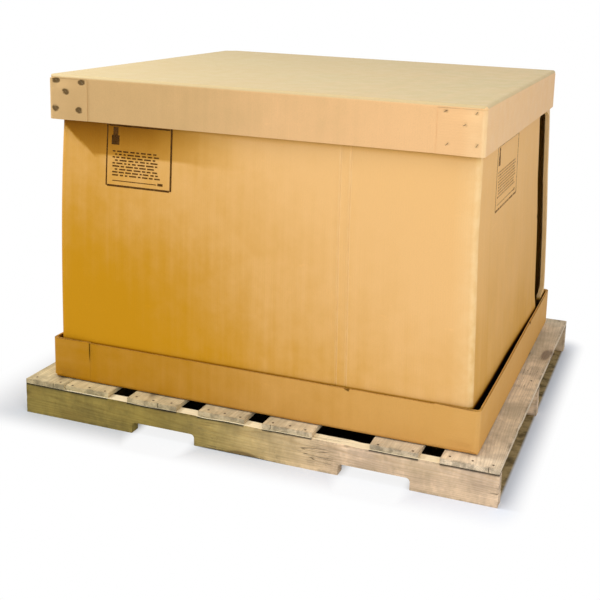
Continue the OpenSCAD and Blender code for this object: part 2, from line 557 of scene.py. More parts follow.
def ink_effect():
    """Flexo print that has taken unevenly on the kraft liner."""
    graph, entry, put = shader_group(
        "worn print", {"Vector": ["Place"], "Float": ["Cover"], "Color": ["Ink"]},
        {"Color": ["Color"], "Float": ["Roughness", "Height", "Alpha"]})
    patch = graph.noise(entry["Place"], 45.0, 4.0, 0.7)
    grain = graph.noise(entry["Place"], 420.0, 2.0, 0.7)
    put("Color", graph.lighten_by(entry["Ink"], patch, 0.3, 0.7, 0.8, 1.3))
    put("Roughness", graph.fade(grain, 0.3, 0.7, 0.45, 0.6))
    put("Height", grain)
    taken = graph.fade(patch, 0.25, 0.55, 0.6, 1.0) * graph.fade(grain, 0.3, 0.5, 0.75, 1.0)
    put("Alpha", taken * entry["Cover"])
    return graph.tree


def metal_effect():
    """Wire or nail head, bright where it is rubbed and brown where it has rusted."""
    graph, entry, put = shader_group(
        "rusting metal", {"Vector": ["Place"], "Color": ["Bright", "Rust"], "Float": ["Rusting"]},
        SURFACE_OUTPUTS)
    patch = graph.noise(entry["Place"], 260.0, 4.0, 0.7)
    rust = graph.fade(patch + (entry["Rusting"] - 0.5), 0.4, 0.62)
    put("Color", graph.mix(rust, entry["Bright"], entry["Rust"]))
    put("Roughness", graph.fade(rust, 0.0, 1.0, 0.34, 0.85))
    put("Height", patch)
    return graph.tree


# Materials

# The paler, less red tone of upward faces
UPWARD_PALE_TONE = colour(0.575, 0.455, 0.235)
# Tone of worn corners with a painted highlight
RUBBED_AND_HIGHLIGHT = colour(0.92, 0.68, 0.36)
# How far the painted light gradient drops on the sleeve's right panel, as painted shade
SIDE_PAINTED_SHADE = 0.3
# Relief of each kind of surface
BOARD_BUMP = 0.5 * MM
WOOD_BUMP = 0.9 * MM
PRINT_BUMP = 0.05 * MM
NAIL_BUMP = 0.1 * MM


def place(graph):
    """The point in the part's own frame."""
    return graph.add("TexCoord")["Object"]


def stored(*names):
    """Inputs that read what mark_faces stored under the same names, in small letters."""
    def reader(name):
        output = "Vector" if name.endswith("Point") else "Fac"
        return lambda graph: graph.add("Attribute", attribute_name=name.lower().replace(" ", "_"))[output]
    return {name: reader(name) for name in names}


def painted_length_gradient(left, right, start=-0.69, end=0.69):
    """A painted light gradient that runs from left to right along the part's length, between two places on
    it.
    """
    return lambda graph: graph.fade(graph.parts(place(graph))[0], start, end, left, right)


def painted_light_gradient(ends, rise):
    """A painted light gradient: paler from the left end to the right one and from the foot to the top, and
    on the sleeve, painted shade on the right panel and painted light on the left one.
    """
    def made(graph):
        height = graph.parts(place(graph))[2]
        side = stored("Side")["Side"](graph)
        return painted_length_gradient(*ends)(graph) + graph.fade(height, 0.15, 1.05, *rise) - side * SIDE_PAINTED_SHADE
    return made


def corrugated_material(name, effect, deep, pale, fade, rise, plies, thickness, specular):
    sockets = stored("Sheet Point", "Cut Edge", "Fold", "Dent", "Bleach", "Grime") | {
        "Fade": painted_light_gradient(fade, rise), "Ply Depth": thickness / plies, "Deep Tone": deep,
        "Pale Tone": pale, "Bleached Tone": UPWARD_PALE_TONE, "Rubbed Tone": RUBBED_AND_HIGHLIGHT}
    return surface(name, effect, sockets, BOARD_BUMP, specular)


def softwood_material(name, effect, early, late, weathered, weathering, fade):
    sockets = stored("Grain Point", "Edge", "Seam") | {
        "Fade": painted_length_gradient(*fade), "Early Wood": early, "Late Wood": late,
        "Weathered": weathered, "Weathering": weathering}
    return surface(name, effect, sockets, WOOD_BUMP, 0.3)


def print_material(name, effect, cover, ink):
    return surface(name, effect, {"Place": place, "Cover": cover, "Ink": ink}, PRINT_BUMP, 0.1)


def metal_material(name, effect, bright, rust, rusting, bump_depth, metallic):
    sockets = {"Place": place, "Bright": bright, "Rust": rust, "Rusting": rusting}
    return surface(name, effect, sockets, bump_depth, metallic=metallic)


corrugated = corrugated_effect()
softwood = softwood_effect()
worn_print = ink_effect()
rusting_metal = metal_effect()

# After the tones come the painted light gradients: from the left end to the right, and from the foot to the
# top
SLEEVE_KRAFT = corrugated_material(
    "kraft triple-wall board, sleeve", corrugated, colour(0.55, 0.26, 0.006), colour(0.8, 0.48, 0.19),
    (0.06, 0.93), (-0.28, 0.36), 3, SLEEVE_T, 0.06)
LID_KRAFT = corrugated_material(
    "kraft double-wall board, lid", corrugated, colour(0.55, 0.35, 0.145), colour(0.8, 0.48, 0.22),
    (0.0, 1.0), (0.0, 0.0), 2, CAP_T, 0.3)
TRAY_KRAFT = corrugated_material(
    "kraft double-wall board, tray", corrugated, colour(0.44, 0.2, 0.003), colour(0.65, 0.355, 0.1),
    (0.1, 1.0), (0.0, 0.0), 2, CAP_T, 0.05)
# The last numbers are the painted light gradient along the length
DECK_WOOD = softwood_material(
    "sawn softwood, deck boards", softwood, colour(0.74, 0.6, 0.4), colour(0.5, 0.37, 0.23),
    colour(0.42, 0.35, 0.22), 0.62, (0.86, 1.05))
STRINGER_WOOD = softwood_material(
    "sawn softwood, stringers", softwood, colour(0.78, 0.58, 0.38), colour(0.56, 0.37, 0.19),
    colour(0.44, 0.33, 0.17), 0.55, (0.39, 1.05, -0.4, 0.45))
PRINT = print_material("brown print on kraft", worn_print, 0.95, colour(0.085, 0.033, 0.003))
FAINT_PRINT = print_material("faint brown print on kraft", worn_print, 0.42, colour(0.2, 0.1, 0.02))
STAPLE_WIRE = metal_material(
    "coppered staple wire", rusting_metal, colour(0.24, 0.17, 0.08), colour(0.12, 0.075, 0.03),
    0.5, PRINT_BUMP, 0.4)
NAIL_STEEL = metal_material(
    "nail steel", rusting_metal, colour(0.35, 0.33, 0.3), colour(0.09, 0.05, 0.025), 0.6, NAIL_BUMP, 0.7)


# Corrugated sheets: a cap is one folded blank, and the sleeve one rolled blank

def cap_sheet_point(cap, point, normal):
    """Place on a cap's flat blank: across the flutes, along them, and in through the board."""
    local, facing = cap.local(point), cap.unturn @ normal
    drop = cap.drop(point)
    from_end, from_side = cap.half_l - abs(local.x), cap.half_w - abs(local.y)
    depth = min(drop, from_end, from_side)
    on_flap = from_side < CAP_T / 2 and drop > CAP_T + FLAP_RELIEF / 2 and from_end < FLAP_L + MM
    if on_flap or (abs(facing.x) > abs(facing.y) and drop > CAP_FOLD_R):
        return Vector((math.copysign(cap.half_l + drop, local.x),
                       math.copysign(abs(local.y) + max(from_end, 0.0), local.y), depth))
    if abs(facing.x) > abs(facing.y):
        return Vector((math.copysign(abs(local.x) + drop, local.x), local.y, depth))
    return Vector((local.x, math.copysign(abs(local.y) + drop, local.y), depth))


# How clearly the flutes show on each kind of cut edge
RIM_SHOWN = 0.6
FLAP_EDGE_SHOWN = 0.12
JOINT_EDGE_SHOWN = 0.15


def cap_cut_edge(cap, point, normal):
    """How clearly the flutes show where a cap's board is cut: on its rim and on its flaps' edges."""
    local, facing = cap.local(point), cap.unturn @ normal
    level = abs(facing.z) > 0.9
    from_side = cap.half_w - abs(local.y)
    rim = level and abs(point.z - cap.open_z) < 5 * MM
    relief = level and from_side < CAP_T + MM and cap.drop(point) > CAP_T
    flap_end = abs(facing.x) > 0.9 and cap.half_l - abs(local.x) > CAP_T * 3 and from_side < CAP_T + MM
    return RIM_SHOWN if rim else FLAP_EDGE_SHOWN if relief or flap_end else 0.0


FOLD_FADE = 45 * MM
SCORE_WEAR = 0.35


def fold_wear_and_highlight(left, right, score=0.0):
    """How far an upright corner is rubbed, with a painted highlight: a left or a right corner and the front
    beside it, or a score.
    """
    def wear(point, normal):
        if abs(normal.z) > 0.1:
            return 0.0
        at_end = abs(point.x) > sleeve_half.x - 2 * SLEEVE_R - FOLD_FADE
        corner = right if point.x > 0 else left
        turned = math.atan2(abs(normal.x), abs(normal.y)) / (math.pi / 2)
        if turned < 0.03:
            from_fold = sleeve_half.x - SLEEVE_R - abs(point.x)
            return 0.45 * corner * ease(1 - from_fold / FOLD_FADE) if at_end and point.y < 0 else 0.0
        if turned > 0.97:
            return 0.0
        if not at_end:
            return score
        return corner * (0.45 + 0.55 * ease(turned / 0.4)) * ease((1 - turned) / 0.12)
    return wear


# Painted light on the tab beside the open joint, and on the lid's right end
TAB_PAINTED_HIGHLIGHT = 0.75
LID_END_PAINTED_LIGHT = 0.35


def lid_wear_and_light(point, normal):
    """Worn corners with a painted highlight, and painted light on the lid's right end."""
    return LID_END_PAINTED_LIGHT if normal.x > 0.98 else fold_wear_and_highlight(0.15, 1.0)(point, normal)


def sleeve_wear_and_highlight(point, normal):
    """Worn corners and scores with a painted highlight, and painted light on the tab beside the open joint.
    """
    local = point - sleeve_centre
    on_tab = local.x > sleeve_half.x - SLEEVE_T * 1.2 and local.y > sleeve_half.y - TAB_W - MM
    if on_tab and abs(normal.z) < 0.1 and (normal.x > 0.5 or normal.y < -0.5):
        return TAB_PAINTED_HIGHLIGHT
    return fold_wear_and_highlight(0.0, 1.0, SCORE_WEAR)(point, normal)


def sleeve_sheet_point(point, normal):
    """Place on the sleeve's flat blank: along its length, up it, and in through the board."""
    local = point - sleeve_centre
    from_front, from_back = sleeve_half.y + local.y, sleeve_half.y - local.y
    depth = min(sleeve_half.x - abs(local.x), from_front, from_back)
    joint = sleeve_half.y - TAB_W - JOINT_GAP / 2
    if local.y < joint:
        return Vector((local.x + math.copysign(from_front, local.x), local.z, depth))
    round_back = 2 * (sleeve_half.x + sleeve_half.y)
    return Vector((-round_back - local.x - math.copysign(from_back, local.x), local.z, depth))


def sleeve_cut_edge(point, normal):
    """How clearly the flutes show on the sleeve's top and bottom edges and on its joint's edges."""
    local = point - sleeve_centre
    joint_edge = abs(normal.y) > 0.9 and sleeve_half.y - abs(local.y) > SLEEVE_T * 1.2 and local.x > 0
    return 1.0 if abs(normal.z) > 0.9 else JOINT_EDGE_SHOWN if joint_edge else 0.0


LID_SAG = 5 * MM
LID_HEM_WAVE = 2.2 * MM
HEM_WAVE_SIZE = 0.35
HEM_START = 25 * MM
# How sharply a wave or a bow dies away at the corners
WALL_WINDOW = 8
BOW_WINDOW = 6
LID_FLAP_PRESS = 5.2 * MM
TRAY_FLAP_PRESS = 6.4 * MM
FLAP_PRESS_REACH = 110 * MM
FLAP_PRESS_DROP = 40 * MM
FLAP_CORNER = 30 * MM
WALL_ZONE = 2.2 * CAP_T


def shape_cap(cap, point, hem_wave, flap_press, seed):
    """Lets a cap's walls wander towards their open edge, and presses its flaps' ends to the wall."""
    local = cap.local(point)
    free = ease((cap.drop(point) - HEM_START) / (cap.height - HEM_START))
    move = Vector((0, 0, 0))
    if cap.half_w - abs(local.y) < WALL_ZONE:
        window = 1 - (abs(local.x) / cap.half_l) ** WALL_WINDOW
        hem = window * hem_wave * wave((local.x, 0, seed), HEM_WAVE_SIZE, seed)
        move.y += math.copysign(hem, local.y) * free
    if cap.half_l - abs(local.x) < WALL_ZONE:
        window = 1 - (abs(local.y) / cap.half_w) ** WALL_WINDOW
        hem = window * hem_wave * wave((local.y, 0, seed), HEM_WAVE_SIZE, seed + 4)
        move.x += math.copysign(hem, local.x) * free
    if cap.half_w - abs(local.y) < CAP_T / 2:
        from_end = cap.half_l - abs(local.x)
        at_end = ease((from_end - FLAP_L + FLAP_PRESS_REACH) / FLAP_PRESS_REACH)
        at_top = ease(1 - (cap.drop(point) - CAP_T - FLAP_RELIEF) / FLAP_PRESS_DROP)
        at_top *= ease((from_end - CAP_T) / FLAP_CORNER)
        press = 1 - (1 - at_end) * (1 - at_top) if MM < from_end < FLAP_L + MM else 0.0
        move.y -= math.copysign(flap_press * press, local.y)
    return point + move


def shape_lid(point):
    """The lid's panel sags between the sleeve's walls, and its hem wanders."""
    local = lid.local(point)
    moved = shape_cap(lid, point, LID_HEM_WAVE, LID_FLAP_PRESS, 5.0)
    if lid.drop(point) < CAP_T + MM:
        span_x, span_y = sleeve_half.x - SLEEVE_T, sleeve_half.y - SLEEVE_T
        room = ease(1.2 * (1 - (local.x / span_x) ** 2)) * ease(1.2 * (1 - (local.y / span_y) ** 2))
        moved.z -= room * LID_SAG * (0.8 + 0.5 * wave(point, 0.4, 2.0))
    return moved


TRAY_HEM_WAVE = 1.6 * MM
RIM_DROP = 2.4 * MM
RIM_NIBBLE = 0.9 * MM


def shape_tray(point):
    """The tray's long walls stop a little below its flaps, and its rim is nibbled."""
    local = tray.local(point)
    moved = shape_cap(tray, point, TRAY_HEM_WAVE, TRAY_FLAP_PRESS, 9.0)
    if point.z > tray.open_z - 2 * MM:
        inner = abs(local.x) < tray.half_l - FLAP_L - 2 * MM
        moved.z -= (RIM_DROP if inner else 0.0) + RIM_NIBBLE * abs(wave(point, 0.03, 6.0))
    return moved


SLEEVE_BOW = 2.5 * MM
SLEEVE_RIPPLE = 1.6 * MM
# How far each end leans out at its foot, and the height from which it leans
LEFT_LEAN = 24 * MM
EARLY_LEAN_TOP = 1.0
RIGHT_LEAN = 18 * MM
RIGHT_LEAN_TOP = 0.76
RIGHT_BACK_LEAN = 16 * MM
FOOT_BELLY = 8 * MM
CORNER_ZONE = 1.1 * SLEEVE_R
PANEL_CURL = 4 * MM
PANEL_CURL_REACH = 350 * MM
TAB_FLARE = 12 * MM
TAB_FLARE_CURVE = 1.3
# Shares of the free height over which the joint's edges part, above the tray and below the lid
JOINT_FOOT, JOINT_HEAD = 0.08, 0.025


def joint_curl(local, height):
    """How far the edges of the open joint stand apart: the panel's edge in, and the tab's edge out."""
    stand = ease(height / JOINT_FOOT) * ease((1 - height) / JOINT_HEAD)
    joint = sleeve_half.y - TAB_W - JOINT_GAP / 2
    if local.y > joint:
        return stand * TAB_FLARE * clamp((sleeve_half.y - local.y) / TAB_W) ** TAB_FLARE_CURVE
    panel_edge = sleeve_half.y - TAB_W - JOINT_GAP
    return -stand * PANEL_CURL * ease((local.y - panel_edge + PANEL_CURL_REACH) / PANEL_CURL_REACH)


def foot_spread(point, local):
    """How far the ends of the sleeve lean out towards the foot, where the end panels belly too."""
    side = local.x / sleeve_half.x
    low = clamp((EARLY_LEAN_TOP - point.z) / (EARLY_LEAN_TOP - sleeve_low.z))
    early = 1 - (1 - low) ** 3
    if side < 0:
        return LEFT_LEAN * side * early
    low = clamp((RIGHT_LEAN_TOP - point.z) / (RIGHT_LEAN_TOP - sleeve_low.z))
    on_panel = 1 - (abs(local.y) / sleeve_half.y) ** 4 if sleeve_half.x - local.x < CORNER_ZONE else 0.0
    back = clamp((local.y / sleeve_half.y + 0.2) / 1.2)
    return low * (RIGHT_LEAN * side + FOOT_BELLY * on_panel) + early * RIGHT_BACK_LEAN * side * back


def shape_sleeve(point):
    """The sleeve's panels bow out between the tray and the lid, its foot spreads, and its joint curls."""
    local = point - sleeve_centre
    height = (point.z - tray.open_z) / (lid.open_z - tray.open_z)
    move = Vector((foot_spread(point, local), 0, 0))
    if not 0 < height < 1:
        return point + move
    window = math.sin(math.pi * height) ** 2
    ripple = SLEEVE_RIPPLE * wave(point, 0.3, 8.0)
    if sleeve_half.y - abs(local.y) < CORNER_ZONE:
        span = 1 - (abs(local.x) / sleeve_half.x) ** BOW_WINDOW
        move.y += math.copysign(window * span * (SLEEVE_BOW + ripple), local.y)
    if sleeve_half.x - abs(local.x) < CORNER_ZONE:
        span = 1 - (abs(local.y) / sleeve_half.y) ** BOW_WINDOW
        move.x += math.copysign(window * span * (SLEEVE_BOW + ripple), local.x)
        if local.x > 0:
            move.x += joint_curl(local, height)
    return point + move


# The left panel's painted light, as a share of the right panel's painted shade
LEFT_SIDE_PAINTED_LIGHT = -0.9
# The painted shadow under the lid's hem: its depth, its slanting left edge, where it starts, how it fades
# to the right, and its soft lower edge
HEM_SHADOW_DEPTH = 112 * MM
HEM_SHADOW_SLOPE = 0.8
HEM_SHADOW_START = 16 * MM
HEM_SHADOW_FADE = 0.45
HEM_SHADOW_EDGE = 7 * MM
HEM_LINE_DEPTH = 24 * MM
UNDER_LID = 30 * MM
# How dark the painted shadow's patch is at its top and its foot, and its line under the hem at the left and
# the right
PATCH_TOP, PATCH_FOOT = 0.72, 0.4
LINE_LEFT, LINE_RIGHT = 0.64, 0.22
# Painted shade on the inner faces of the sleeve and of the tray
INSIDE_PAINTED_SHADE = 0.55
TRAY_INSIDE_PAINTED_SHADE = 0.95


def painted_hem_shadow(point):
    """The painted shadow on the front under the lid's hem: a thin line, and a slanting patch at the left.
    """
    below = lid.open_z - point.z
    if below < -UNDER_LID:
        return 0.0
    from_left = point.x - (lid.centre.x - lid.half_l)
    depth = HEM_SHADOW_DEPTH * (1 + 0.08 * wave(point, 0.1, 4.0))
    reach = min(depth, HEM_SHADOW_SLOPE * (from_left - HEM_SHADOW_START))
    patch = ease((reach - below) / HEM_SHADOW_EDGE) * (1 - ease((point.x + HEM_SHADOW_FADE) / HEM_SHADOW_FADE))
    patch *= blend(PATCH_TOP, PATCH_FOOT, clamp(below / HEM_SHADOW_DEPTH))
    line = blend(LINE_LEFT, LINE_RIGHT, ease((point.x + 0.6) / 0.7)) * ease(1 - below / HEM_LINE_DEPTH)
    return max(patch, line)


def sleeve_side_painted_light(point, normal):
    """1 on the right panel, whose tone is deepened as painted shade, and below 0 on the left one, whose
    tone is paled as painted light.
    """
    return ease(2 * abs(normal.x) - 0.6) * (1.0 if normal.x > 0 else LEFT_SIDE_PAINTED_LIGHT)


def sleeve_painted_shade(point, normal):
    """Painted shade on the sleeve: inside it, down in the tray, and the painted shadow under the lid's hem.
    """
    local = point - sleeve_centre
    at_end = sleeve_half.x - abs(local.x) < SLEEVE_R
    axis = 0 if at_end else 1
    facing_in = normal[axis] * local[axis] < -0.5 * abs(local[axis])
    if facing_in and min(sleeve_half.x - abs(local.x), sleeve_half.y - abs(local.y)) > SLEEVE_T * 0.9:
        return INSIDE_PAINTED_SHADE
    in_tray = ease((tray.open_z + 4 * MM - point.z) / (14 * MM))
    return max(in_tray, painted_hem_shadow(point)) if normal.y < -0.7 else in_tray


def tray_painted_shade(point, normal):
    """Painted shade inside the tray, from just below its rim."""
    local = tray.local(point)
    inside = tray.half_l - abs(local.x) > CAP_T * 0.9 and tray.half_w - abs(local.y) > CAP_T * 1.9
    return TRAY_INSIDE_PAINTED_SHADE * ease((tray.open_z - point.z) / (9 * MM)) if inside else 0.0


def lid_upward_pale(point, normal):
    """1 on the lid's upward faces, whose tone is paler and less red."""
    return ease((normal.z - 0.12) / 0.4)


# Places of the lid's staples, as (distance from the lid's end, distance below its top)
STAPLE_SITES = [
    (28 * MM, 19 * MM), (122 * MM, 21 * MM), (65 * MM, 53 * MM), (26 * MM, 108 * MM), (111 * MM, 110 * MM)]
STAPLE_JITTER = 4 * MM
STAPLE_DENT_R = 20 * MM
STAPLE_DENT_DEPTH = 1.1 * MM
STAPLE_DENT_WIDE = 1.35
# How dark the faint dents and the crushed corner are, as dirt and painted shade
FAINT_STAIN_AND_SHADE = 0.22
CORNER_STAIN_AND_SHADE = 0.12


def staple_places(draw):
    """(point on the lid's surface, side, crown's lean) of each staple; the front left ones are in line."""
    places = []
    for end in (-1, 1):
        for side in (-1, 1):
            for from_end, drop in STAPLE_SITES:
                jitter = STAPLE_JITTER if end > 0 or side > 0 else 0.0
                shift = [draw.uniform(-jitter, jitter) if jitter else 0.0 for _ in range(2)]
                point = lid.world(end, side, from_end + shift[0], drop + abs(shift[1]))
                places.append((point, side, draw.uniform(0.5, 1.0) * end))
    return places


# Places of the close cuts, in millimetres: in from a flap's end, and on the sleeve below the lid's hem,
# round the tray's rim and in from the left end
FLAP_CUTS = range(8, 108, 11)
HEM_CUTS = range(2, 122, 9)
RIM_CUTS = (-16, -11, -6, 3)
LEFT_CUTS = range(30, 150, 10)


def cap_slices(cap):
    """Planes that cut a cap into a fine grid, with narrow strips beside its folds."""
    centre, half_l, half_w = cap.centre, cap.half_l, cap.half_w
    to_open = math.copysign(1, cap.open_z - cap.flat_z)
    xs = spaced(centre.x - half_l, centre.x + half_l, SHEET_STEP)
    ys = spaced(centre.y - half_w, centre.y + half_w, SHEET_STEP)
    zs = spaced(min(cap.flat_z, cap.open_z), max(cap.flat_z, cap.open_z), SHEET_STEP)
    inset = CAP_FOLD_R + 2 * SUPPORT
    xs += [centre.x - half_l + inset, centre.x + half_l - inset]
    ys += [centre.y - half_w + inset + CAP_T, centre.y + half_w - inset - CAP_T]
    zs += [cap.flat_z + to_open * inset, cap.open_z - to_open * SUPPORT]
    for reach in FLAP_CUTS:
        xs += [centre.x - half_l + FLAP_L - reach * MM, centre.x + half_l - FLAP_L + reach * MM]
        if reach * MM < FLAP_PRESS_DROP:
            zs.append(cap.flat_z + to_open * (CAP_T + FLAP_RELIEF + reach * MM))
    return [(0, x) for x in xs] + [(1, y) for y in ys] + [(2, z) for z in zs]


def cap_marks(cap):
    """The marks that the lid and the tray share."""
    return {"sheet_point": lambda point, normal: cap_sheet_point(cap, point, normal),
            "cut_edge": lambda point, normal: cap_cut_edge(cap, point, normal)}


def folded_sheet(node, slices, dents, marks, shape, name, material):
    """Slices, marks, dents and bends a copy of a node, and makes it the piece that stands for it."""
    mesh = sliced_copy(node, slices)
    refine(mesh, dents)
    mark_faces(mesh, marks | {"dent": marked_by(dents)})
    for vert in mesh.verts:
        vert.co = pressed(shape(vert.co), dents)
    return finished_piece(mesh, name, material, [node])


def staple_dents(staples):
    """The dents that the staples' crowns have pressed into the flaps, with dirty marks and painted shade,
    darkest at the front left.
    """
    dents = []
    for point, side, _ in staples:
        stain = 1.0 if point.x < 0 and side < 0 else FAINT_STAIN_AND_SHADE
        push = (0, -side * STAPLE_DENT_DEPTH, 0)
        dents.append(Dent(point, STAPLE_DENT_R, push, stain, STAPLE_DENT_WIDE))
    return dents


def build_lid(staples):
    """The lid, with its staples' dents, a crushed corner at the back left and a knock on its left end."""
    left, back = lid.centre.x - lid.half_l, lid.centre.y + lid.half_w
    dents = staple_dents(staples) + [
        Dent((left, back, lid.flat_z), 50 * MM, (9 * MM, -7 * MM, -11 * MM), CORNER_STAIN_AND_SHADE),
        Dent((left, -20 * MM, lid.flat_z), 14 * MM, (3 * MM, 0, -4 * MM), FAINT_STAIN_AND_SHADE)]
    marks = cap_marks(lid) | {"fold": lid_wear_and_light, "bleach": lid_upward_pale}
    return folded_sheet("lid_cap", cap_slices(lid), dents, marks, shape_lid, "lid_board", LID_KRAFT)


def build_tray():
    """The tray, with its rim knocked in at a flap, on the front wall and on the right end."""
    rim = tray.open_z
    front = tray.centre.y - tray.half_w
    dents = [Dent((tray.centre.x - tray.half_l + FLAP_L, front, rim), 9 * MM, (0, 0, -3 * MM), 0.0),
             Dent((320 * MM, front + CAP_T, rim), 12 * MM, (0, 2 * MM, -3 * MM)),
             Dent((tray.centre.x + tray.half_l, 210 * MM, rim), 16 * MM, (-4 * MM, 0, -5 * MM))]
    # The tray's marks include painted shade inside it
    marks = cap_marks(tray) | {"fold": fold_wear_and_highlight(0.1, 0.12), "grime": tray_painted_shade}
    return folded_sheet("base_tray", cap_slices(tray), dents, marks, shape_tray, "tray_board", TRAY_KRAFT)


def build_sleeve():
    """The sleeve, sliced finely under the lid's hem and at the tray's rim, with two knocks on its joint."""
    inset = SLEEVE_R + SUPPORT
    slices = [(axis, at) for axis in range(3)
              for at in spaced(sleeve_low[axis], sleeve_high[axis], SHEET_STEP)]
    slices += [(axis, end + side * inset) for axis in range(2)
               for end, side in ((sleeve_low[axis], 1), (sleeve_high[axis], -1))]
    slices += [(2, lid.open_z - depth * MM) for depth in HEM_CUTS]
    slices += [(2, tray.open_z + rise * MM) for rise in RIM_CUTS]
    slices += [(0, sleeve_low.x + reach * MM) for reach in LEFT_CUTS]
    joint_y = sleeve_high.y - TAB_W - JOINT_GAP
    dents = [Dent((sleeve_high.x, joint_y, 620 * MM), 14 * MM, (2 * MM, -3 * MM, 0)),
             Dent((sleeve_high.x - SLEEVE_T, joint_y, 860 * MM), 11 * MM, (-2 * MM, -3 * MM, 0))]
    # The sleeve's marks include painted shade inside it, in the tray and under the lid's hem, painted light
    # on its sides, and a painted highlight on its right corners
    marks = {"sheet_point": sleeve_sheet_point, "cut_edge": sleeve_cut_edge, "fold": sleeve_wear_and_highlight,
             "grime": sleeve_painted_shade, "side": sleeve_side_painted_light}
    return folded_sheet("sleeve", slices, dents, marks, shape_sleeve, "sleeve_board", SLEEVE_KRAFT)


# Staples

CROWN_L = 15 * MM
STAPLE_LEG = 4 * MM
WIRE_W = 1.1 * MM
WIRE_T = 0.6 * MM
WIRE_SIDES = 8
BEND_R = 1.4 * MM
BEND_STEPS = 3


def wire_path():
    """A staple's middle line as (along, in): leg, bend, crown, bend, leg."""
    half = CROWN_L / 2
    turn = [math.pi / 2 * i / BEND_STEPS for i in range(BEND_STEPS + 1)]
    right = [(half - BEND_R + BEND_R * math.sin(a), BEND_R * (1 - math.cos(a))) for a in turn]
    right.append((half, STAPLE_LEG))
    return [(-x, z) for x, z in reversed(right)] + right


def add_wire(mesh, place, along, inward, path):
    """Sweeps a flattened round wire along a path in the plane of along and inward."""
    across = along.cross(inward)
    rings = []
    for i, (x, depth) in enumerate(path):
        before, after = path[max(i - 1, 0)], path[min(i + 1, len(path) - 1)]
        heading = along * (after[0] - before[0]) + inward * (after[1] - before[1])
        outward = heading.normalized().cross(across)
        centre = place + along * x + inward * depth
        angles = [2 * math.pi * k / WIRE_SIDES for k in range(WIRE_SIDES)]
        rings.append([mesh.verts.new(
            centre + across * (WIRE_W * math.cos(a)) + outward * (WIRE_T * math.sin(a))) for a in angles])
    skin(mesh, rings)


def build_staples(staples):
    """The staples, each with its crown half sunk in the bent and dented flap."""
    mesh = bmesh.new()
    path = wire_path()
    dents = staple_dents(staples)
    for point, side, lean in staples:
        along = Vector((math.cos(lean), 0, math.sin(lean)))
        add_wire(mesh, pressed(shape_lid(point), dents), along, Vector((0, -side, 0)), path)
    bmesh.ops.recalc_face_normals(mesh, faces=mesh.faces)
    return finished_piece(mesh, "lid_staples", STAPLE_WIRE)


# Pallet wood

# How far the boards' upper faces lie below the nail heads
LIFT = 0.5 * MM
CHIP_REACH = 16 * MM
CHIP_DEPTH = 3.5 * MM
END_ROUGHNESS = 2.2 * MM
END_ZONE = 3 * MM
SPLIT_HALF = 1.2 * MM
WORN_EDGE = 14 * MM
# Places of the close cuts at a stick's ends, and steps of its slices across and along it
END_CUTS = (4 * MM, 10 * MM, 20 * MM)
ACROSS_STEP = 11 * MM
BOARD_STEP = 16 * MM
STRINGER_STEP = 14 * MM
STRINGER_SIDE_STEP = 10 * MM


class Stick:
    """A sawn board or stringer: which way it runs, and its own seeded wear."""

    def __init__(self, node, along, across, seed):
        self.low, self.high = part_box(node)
        self.along, self.across = along, across
        self.through = 3 - along - across
        self.centre = (self.low + self.high) / 2
        self.half = (self.high - self.low) / 2
        draw = random.Random(seed)
        self.seed = seed
        self.heart = Vector((draw.uniform(-9, 9), draw.uniform(-0.07, 0.07), draw.uniform(0.02, 0.11)))
        # One draw is passed over before the splits are drawn
        draw.random()
        self.splits = [
            (draw.choice((-1, 1)), draw.uniform(-0.75, 0.75) * self.half[across], draw.uniform(12, 40) * MM)
            for _ in range(draw.choice((0, 1, 1, 2)))]

    def own(self, point):
        """(along, across, through) from the stick's middle."""
        local = point - self.centre
        return Vector((local[self.along], local[self.across], local[self.through]))

    def grain_point(self, point, normal):
        return self.own(point) + self.heart

    def edge(self, point, normal):
        """1 beside the long edges and ends, fading to 0, and 0 on the narrow faces between them."""
        if abs(normal[self.across]) > 0.7:
            return 0.0
        own = self.own(point)
        gap = min(self.half[self.across] - abs(own.y), self.half[self.along] - abs(own.x))
        return 1.0 - ease(gap / WORN_EDGE)

    def slices(self, along_step):
        """Planes that divide the stick, closer together at its ends and beside its splits."""
        low, high = self.low[self.along], self.high[self.along]
        runs = spaced(low, high, along_step)
        for end, inward in ((low, 1), (high, -1)):
            runs += [end + inward * reach for reach in END_CUTS]
            runs += [end + inward * length for _, _, length in self.splits]
        ribs = spaced(self.low[self.across], self.high[self.across], ACROSS_STEP)
        middle = self.centre[self.across]
        for _, at, _ in self.splits:
            ribs += [middle + at - SPLIT_HALF, middle + at, middle + at + SPLIT_HALF]
        return [(self.along, x) for x in runs] + [(self.across, y) for y in ribs]

    def worn(self, point):
        """A point moved inwards by chipped edges, rough ends and end splits."""
        own = self.own(point)
        half_along, half_across = self.half[self.along], self.half[self.across]
        moved = Vector(point)
        from_edge = half_across - abs(own.y)
        from_end = half_along - abs(own.x)
        if from_edge < CHIP_REACH:
            chip = clamp(wave((own.x, own.y * 0.2, 0), 0.11, self.seed) - 0.3) * 2.4
            chip += 0.18 * abs(wave((own.x, own.y, own.z), 0.03, self.seed + 2))
            share = 1 - from_edge / CHIP_REACH
            moved[self.across] -= math.copysign(CHIP_DEPTH * chip * share, own.y)
        if from_end < END_ZONE:
            rough = abs(wave((own.x, own.y, own.z), 0.02, self.seed + 5)) * END_ROUGHNESS
            moved[self.along] -= math.copysign(rough, own.x)
        for end, at, length in self.splits:
            if own.x * end > 0 and abs(own.y - at) < SPLIT_HALF / 2 and from_end < END_ZONE:
                moved[self.along] -= math.copysign(length, own.x)
        return moved


